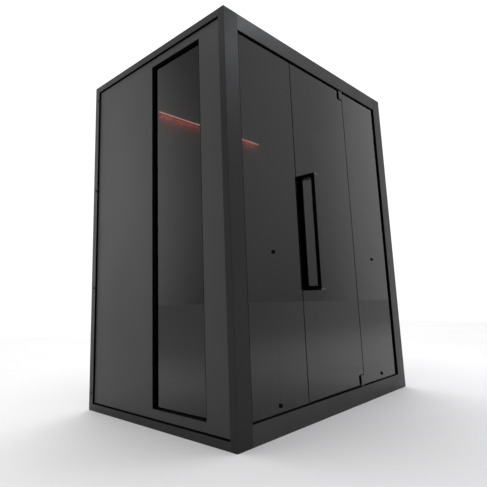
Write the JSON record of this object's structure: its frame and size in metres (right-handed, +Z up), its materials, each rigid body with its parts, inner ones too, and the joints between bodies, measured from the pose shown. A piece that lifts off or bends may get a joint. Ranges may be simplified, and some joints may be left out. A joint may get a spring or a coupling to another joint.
{
  "type": "sauna cabin",
  "caption": "Box-shaped indoor sauna cabin in charcoal panels with a tinted glass front, a pivoting glass door, slim side windows and a red light strip.",
  "frame": {"origin": "on the ground, under the middle of the cabin's footprint", "axes": "+Z up, +X to the right of somebody facing the front, -Y out of the glazed front"},
  "size_m": [1.7, 1.307, 2.1],
  "materials": {
    "frame_paint": "satin powder coat, charcoal",
    "panel": "fine-textured charcoal laminate",
    "black_lining": "dead matt black",
    "tinted_glass": "dark grey tinted, polished",
    "black_metal": "matt black powder coat",
    "pin_steel": "ground",
    "floor_board": "dark stained boards",
    "ceiling_board": "dark stained boards",
    "light_red": "glowing red diffuser"
  },
  "bodies": {
    "cabin": {"floor_panel": "floor_board", "ceiling_panel": "ceiling_board", "roof_panel": "panel", "front_left_post": "frame_paint", "front_right_post": "frame_paint", "front_beam": "frame_paint", "front_sill": "frame_paint", "portal_lining_top": "black_lining", "portal_lining_bottom": "black_lining", "portal_lining_left": "black_lining", "portal_lining_right": "black_lining", "left_fixed_glass": "tinted_glass", "right_fixed_glass": "tinted_glass", "glass_bolts": "black_metal", "left_top_rail": "frame_paint", "left_bottom_rail": "frame_paint", "left_rear_post": "frame_paint", "left_front_wall": "panel", "left_rear_wall": "panel", "left_window_header": "panel", "left_window_apron": "panel", "left_window_lining": "black_lining", "left_window_glass": "tinted_glass", "right_top_rail": "frame_paint", "right_bottom_rail": "frame_paint", "right_rear_post": "frame_paint", "right_front_wall": "panel", "right_rear_wall": "panel", "right_window_header": "panel", "right_window_apron": "panel", "right_window_lining": "black_lining", "right_window_glass": "tinted_glass", "back_top_rail": "frame_paint", "back_bottom_rail": "frame_paint", "back_wall": "panel", "light_profile": "black_metal", "light_diffuser": "light_red", "post_screws": "black_metal", "pivot_pins": "pin_steel"},
    "door": {"door_glass": "tinted_glass", "bottom_pivot_clamp": "black_metal", "top_pivot_clamp": "black_metal", "outer_handle": "black_metal", "inner_handle": "black_metal"}
  },
  "joints": [
    {"name": "door_hinge", "type": "hinge", "parent": "cabin", "child": "door", "pos_m": [0.271, -0.611, 0.103], "axis": [0, 0, 1], "range_deg": [0, 100]}
  ]
}
